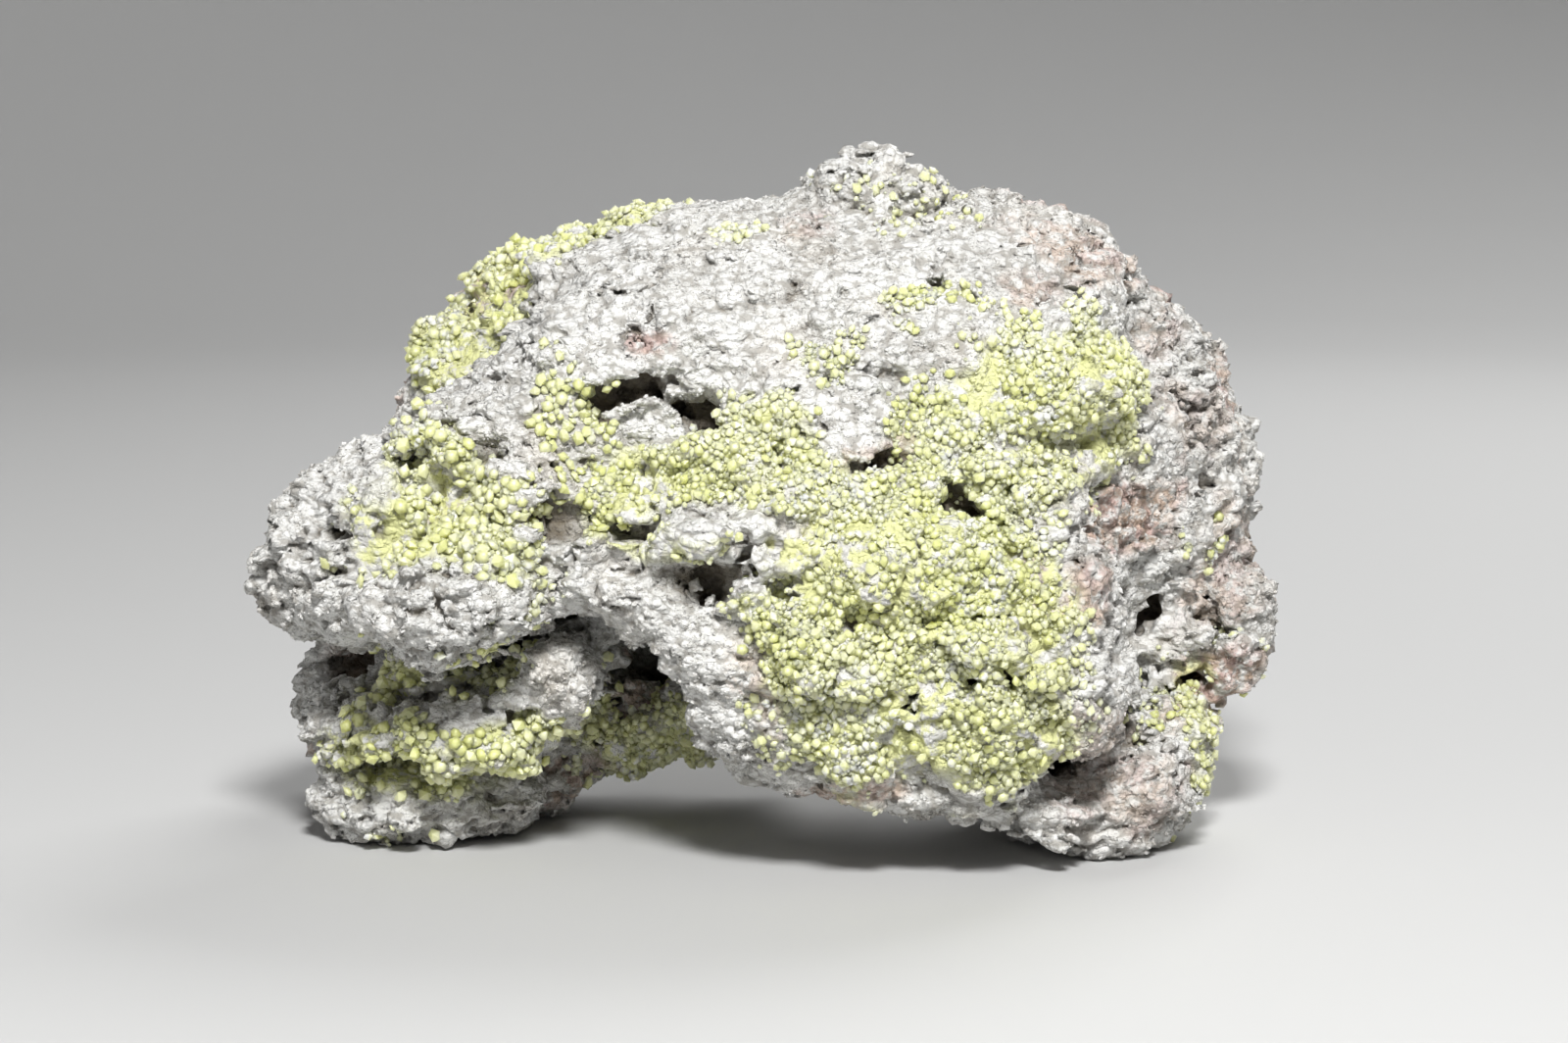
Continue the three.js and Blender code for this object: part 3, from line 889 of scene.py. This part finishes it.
def many(shapes, which, places, turns, sizes):
    """Joins copies of a few shapes. Returns points, triangles and the number of each point's copy."""
    all_points, all_faces, all_copies = [], [], []
    start = 0
    for n, (points, faces) in enumerate(shapes):
        copies = np.nonzero(which == n)[0]
        grown = points[None] * sizes[copies][:, None, :]
        placed = np.einsum("nij,nvj->nvi", turns[copies], grown) + places[copies][:, None]
        all_points.append(placed.reshape(-1, 3))
        offsets = start + len(points) * np.arange(len(copies))
        all_faces.append((faces[None] + offsets[:, None, None]).reshape(-1, 3))
        all_copies.append(np.repeat(copies, len(points)))
        start += placed.shape[0] * len(points)
    return np.concatenate(all_points), np.concatenate(all_faces), np.concatenate(all_copies)


def rings_of(levels, sides, rng, jitter):
    """A closed rounded solid: one point below, rings of points, one point above, each moved a little."""
    points = [(0, 0, levels[0][1])]
    for n, (radius, height) in enumerate(levels[1:-1]):
        for side in range(sides):
            angle = 2 * math.pi * (side + 0.5 * (n % 2)) / sides
            points.append((radius * math.cos(angle), radius * math.sin(angle), height))
    points.append((0, 0, levels[-1][1]))
    points = np.array(points) * (1 + jitter * rng.standard_normal((len(points), 1)))
    faces = []
    rings = len(levels) - 2
    for side in range(sides):
        after = (side + 1) % sides
        faces.append((0, 1 + after, 1 + side))
        last = 1 + sides * (rings - 1)
        faces.append((last + side, last + after, len(points) - 1))
        for ring in range(rings - 1):
            low, high = 1 + sides * ring, 1 + sides * (ring + 1)
            if ring % 2 == 0:
                faces.append((low + side, low + after, high + side))
                faces.append((low + after, high + after, high + side))
            else:
                faces.append((low + side, low + after, high + after))
                faces.append((low + side, high + after, high + side))
    return points, np.array(faces)


# A crystal of width 1: a stubby double pyramid with a blunt top, as radius and height of its rings.
CRYSTAL_RINGS = ((0, -0.42), (0.50, -0.04), (0.33, 0.32), (0, 0.42))
CRYSTAL_SHAPES = 8
CRYSTALS_TRIED = 7.0  # on each square millimetre of a crust, before they are thinned out
SUNK = 0.31  # how deep a crystal's middle lies in the rock, in crystal sizes
RIDERS = 0.4  # share of the crystals in a clump that carry a smaller one
RIDER_SIZE = 0.72  # in sizes of the crystal below
RIDER_LIFT = 0.34


def to_the_left(points):
    """0 on most of the block, and 1 towards its left end, where crystals are looser and larger."""
    return smooth_step(12, 30, -points[:, 0])


class SPECIMEN_OT_crusts(Operator):
    """Grow the crusts of sulfur crystals"""

    bl_idname = "specimen.crusts"
    bl_label = "Sulfur crusts"

    def execute(self, context):
        crystals = context.scene.specimen_crystals
        rng = np.random.default_rng(5)
        places, normals, sizes = self.sow(rng, Surface(bpy.data.objects["rock"].data), crystals)
        turns = turned_to(normals, 0.45, rng)
        stretch = sizes[:, None] * rng.uniform((1.0, 0.8, 0.6), (1.1, 1.1, 0.95), (len(sizes), 3))
        which = rng.integers(0, CRYSTAL_SHAPES, len(places))
        middles = places - normals * (SUNK * sizes)[:, None]
        shapes = [rings_of(CRYSTAL_RINGS, 5, rng, 0.13) for _ in range(CRYSTAL_SHAPES)]
        material = sulfur_material(crystals)
        nearest = self.nearest_crust(places)
        for n, name in enumerate((*CRUST_NODES, "sulfur_scattered")):
            own = np.nonzero(nearest == n)[0]
            points, faces, copies = many(shapes, which[own], middles[own], turns[own], stretch[own])
            points = lifted_to_floor(points)
            piece = new_piece(name.replace("crust", "crystals"), points, faces, material)
            piece.data.polygons.foreach_set("use_smooth", which[own][copies[faces[:, 0]]] % 2 == 0)
            depth = 0.35 + 0.45 * rough(points, 9, 89, 3) + 0.7 * (rng.random(len(own))[copies] - 0.5)
            set_attribute(piece.data, "depth", np.clip(depth, 0, 1))
            set_attribute(piece.data, "frost", smooth_step(0.0, 0.45, rough(points, 7, 91, 3)))
            if name in CRUST_NODES:
                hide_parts(name)
        return {"FINISHED"}

    def sow(self, rng, surface, crystals):
        """Places, normals and sizes of the crystals: those on the rock, then those that ride on them."""
        middles = surface.corners.mean(1)
        distance = crust_field.sample(middles)
        bare = in_places(middles, FRONT_BARE)
        cover = 1 - smooth_step(1.2, 3.0, distance + 2.2 * rough(middles, 7, 81))
        cover = np.maximum(cover, in_places(middles, FRONT_CRYSTALS, 3.0, 63))
        gaps = rough(middles, 4.5, 83) - 0.22 * to_the_left(middles)
        cover *= smooth_step(-0.40, -0.20, gaps) * (1 - bare)
        scattered = smooth_step(0.30, 0.50, rough(middles, 5, 85)) * (1 - smooth_step(2, 8, distance)) * 0.3
        weight = np.maximum(cover, scattered * (1 - bare))
        places, normals, chosen = surface.scatter(rng, CRYSTALS_TRIED, weight)
        usual = crystals.size / MM
        sizes = usual * np.exp(crystals.spread * rng.standard_normal(len(places))).clip(0.45, 1.75)
        sizes *= 0.9 + 0.25 * to_the_left(places)
        order = np.argsort(-sizes + 0.35 * usual * rng.standard_normal(len(places)))
        order = order[thin_out(places[order], crystals.spacing * sizes[order])]
        places, normals, sizes, cover = places[order], normals[order], sizes[order], cover[chosen][order]
        clumped = smooth_step(-0.1, 0.5, rough(places, 4, 87)) * (cover > 0.6)
        below = np.nonzero(rng.random(len(places)) < RIDERS * clumped)[0]
        lift = normals[below] * (RIDER_LIFT * sizes[below])[:, None]
        lift = lift + 0.35 * rng.standard_normal((len(below), 3))
        return (np.concatenate((places, places[below] + lift)), np.concatenate((normals, normals[below])),
                np.concatenate((sizes, RIDER_SIZE * sizes[below])))

    def nearest_crust(self, places):
        """The number of each place's crust, and one more than the last for places on no crust."""
        reach = 4.0
        nearest = np.full(len(places), len(CRUST_NODES))
        least = np.full(len(places), reach)
        for n, name in enumerate(CRUST_NODES):
            tree = node_tree(name)
            low, high = (np.array(corner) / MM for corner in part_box(name))
            for index in np.nonzero(((places > low - reach) & (places < high + reach)).all(1))[0]:
                away = tree.find_nearest(Vector(places[index]), least[index])[3]
                if away is not None:
                    least[index], nearest[index] = away, n
        return nearest


# Grains of width 1, as radius and height of their rings. Coarse ones have two rings, and fine ones one.
COARSE_RINGS = ((0, -0.45), (0.42, -0.18), (0.42, 0.22), (0, 0.42))
FINE_RINGS = ((0, -0.45), (0.5, 0.0), (0, 0.45))
COARSE_FROM = 0.66  # mm across
GRIT_SHAPES = 6  # of each kind


class SPECIMEN_OT_grit(Operator):
    """Strew the rock's loose grains"""

    bl_idname = "specimen.grit"
    bl_label = "Grit"

    def execute(self, context):
        rock = context.scene.specimen_rock
        rng = np.random.default_rng(6)
        surface = Surface(bpy.data.objects["rock"].data)
        middles = surface.corners.mean(1)
        away = seen(middles)[:, 2]
        bare = smooth_step(0.5, 3.0, crust_field.sample(middles) + 1.2 * rough(middles, 5, 95))
        weight = (0.15 + 0.85 * bare) * smooth_step(-0.6, 0.1, rough(middles, 9, 97))
        weight *= middles[:, 2] > 0.5
        weight *= 1 - 0.72 * smooth_step(-5, 12, away)
        places, normals, _ = surface.scatter(rng, rock.grit_density, weight)
        sizes = 0.36 + 0.62 * rng.random(len(places)) ** 3
        keep = thin_out(places, 0.6 * sizes)
        places, normals, sizes = places[keep], normals[keep], sizes[keep]
        turns = turned_to(normals, 0.8, rng)
        stretch = sizes[:, None] * rng.uniform(0.6, 1.3, (len(sizes), 3))
        which = rng.integers(0, GRIT_SHAPES, len(places)) + np.where(sizes > COARSE_FROM, 0, GRIT_SHAPES)
        shapes = [rings_of(COARSE_RINGS, 5, rng, 0.16) for _ in range(GRIT_SHAPES)]
        shapes += [rings_of(FINE_RINGS, 4, rng, 0.16) for _ in range(GRIT_SHAPES)]
        material = bpy.data.materials["bleached_rock"]
        middle = (block_low + block_high) / 2
        front = places[:, 1] < middle[1] - 8  # so that the front's denser grit makes no larger a piece
        left = places[:, 0] < middle[0]
        quarters = (("grit_front_left", front & left), ("grit_front_right", front & ~left),
                    ("grit_back_left", ~front & left), ("grit_back_right", ~front & ~left))
        for name, inside in quarters:
            own = np.nonzero(inside)[0]
            points, faces, _ = many(shapes, which[own], places[own], turns[own], stretch[own])
            piece = new_piece(name, lifted_to_floor(points), faces, material, smooth=False)
            dress_rock(piece.data)
        return {"FINISHED"}


# ---------------- the stage


LIGHTS = (  # place and size in metres, and share of the key light's power
    ("key", (0.03, -0.55, 0.50), 0.12, 1.0),
    ("fill", (-0.55, -0.50, 0.30), 0.5, 0.04),
    ("rim", (0.30, 0.45, 0.50), 0.4, 0.4),
)
LIGHTS_TARGET = Vector((0, 0, 0.04))
SKY = (0.97, 0.97, 1.0, 1.0)
SKY_STRENGTH = 0.10
CAMERA_TARGET = Vector((0.0008, 0, 0.0375))
CAMERA_DISTANCE = 0.512
CAMERA_LENS = 100
CAMERA_SENSOR = 36


def facing(place, target):
    """The turn that points a light or a camera from its place at a target."""
    return (target - place).to_track_quat("-Z", "Y").to_euler()


class SPECIMEN_OT_stage(Operator):
    """Set up the floor, the lights and the camera"""

    bl_idname = "specimen.stage"
    bl_label = "Stage"

    def execute(self, context):
        stage = context.scene.specimen_stage
        self.add_floor(stage)
        for name, place, size, share in LIGHTS:
            self.add_light(name, Vector(place), size, stage.key_power * share)
        world = bpy.data.worlds.new("studio")
        world.use_nodes = True
        sky = world.node_tree.nodes["Background"]
        sky.inputs["Color"].default_value = SKY
        sky.inputs["Strength"].default_value = SKY_STRENGTH
        context.scene.world = world
        context.scene.view_settings.view_transform = "Standard"
        self.add_camera(context)
        return {"FINISHED"}

    def add_floor(self, stage):
        """A flat round floor that bends up into a wall all the way round."""
        flat, bend, height, sides, steps = 0.6, 0.5, 1.2, 96, 16
        quarter = [math.pi / 2 * n / steps for n in range(steps + 1)]
        rings = [(flat + bend * math.sin(angle), bend * (1 - math.cos(angle))) for angle in quarter]
        rings.append((flat + bend, height))
        points = [(0, 0, 0)]
        for radius, z in rings:
            for side in range(sides):
                angle = 2 * math.pi * side / sides
                points.append((radius * math.cos(angle), radius * math.sin(angle), z))
        faces = [(0, 1 + side, 1 + (side + 1) % sides) for side in range(sides)]
        for ring in range(len(rings) - 1):
            for side in range(sides):
                low, after = 1 + sides * ring + side, 1 + sides * ring + (side + 1) % sides
                faces.append((low, low + sides, after + sides, after))
        mesh = bpy.data.meshes.new("floor")
        mesh.from_pydata(points, [], faces)
        mesh.polygons.foreach_set("use_smooth", [True] * len(faces))
        nodes = Nodes("paper")
        nodes.shade(Base_Color=stage.floor, Roughness=0.8)
        mesh.materials.append(nodes.material)
        add_object("floor", mesh)

    def add_light(self, name, place, size, power):
        data = bpy.data.lights.new(name, "AREA")
        data.size = size
        data.energy = power
        light = add_object(name, data)
        light.location = place
        light.rotation_euler = facing(place, LIGHTS_TARGET)

    def add_camera(self, context):
        data = bpy.data.cameras.new("camera")
        data.lens = CAMERA_LENS
        data.sensor_width = CAMERA_SENSOR
        camera = add_object("camera", data)
        back = Vector((0, -math.cos(VIEW_TILT), math.sin(VIEW_TILT)))
        camera.location = CAMERA_TARGET + CAMERA_DISTANCE * back
        camera.rotation_euler = facing(camera.location, CAMERA_TARGET)
        context.scene.camera = camera


# ---------------- the sidebar


class SPECIMEN_PT_maker(Panel):
    bl_label = "Sulfur Specimen"
    bl_space_type = "VIEW_3D"
    bl_region_type = "UI"
    bl_category = "Specimen"

    def draw(self, context):
        for maker in MAKERS:
            self.layout.operator(maker.bl_idname)


MAKERS = (SPECIMEN_OT_rock, SPECIMEN_OT_grit, SPECIMEN_OT_crusts, SPECIMEN_OT_stage)
CLASSES = (RockSettings, CrystalSettings, StageSettings, *MAKERS, SPECIMEN_PT_maker)


def register():
    for cls in CLASSES:
        bpy.utils.register_class(cls)
    bpy.types.Scene.specimen_rock = PointerProperty(type=RockSettings)
    bpy.types.Scene.specimen_crystals = PointerProperty(type=CrystalSettings)
    bpy.types.Scene.specimen_stage = PointerProperty(type=StageSettings)


def unregister():
    del bpy.types.Scene.specimen_stage
    del bpy.types.Scene.specimen_crystals
    del bpy.types.Scene.specimen_rock
    for cls in reversed(CLASSES):
        bpy.utils.unregister_class(cls)


def main():
    register()
    bpy.ops.specimen.rock()
    bpy.ops.specimen.grit()
    bpy.ops.specimen.crusts()
    bpy.ops.specimen.stage()


if __name__ == "__main__":
    main()
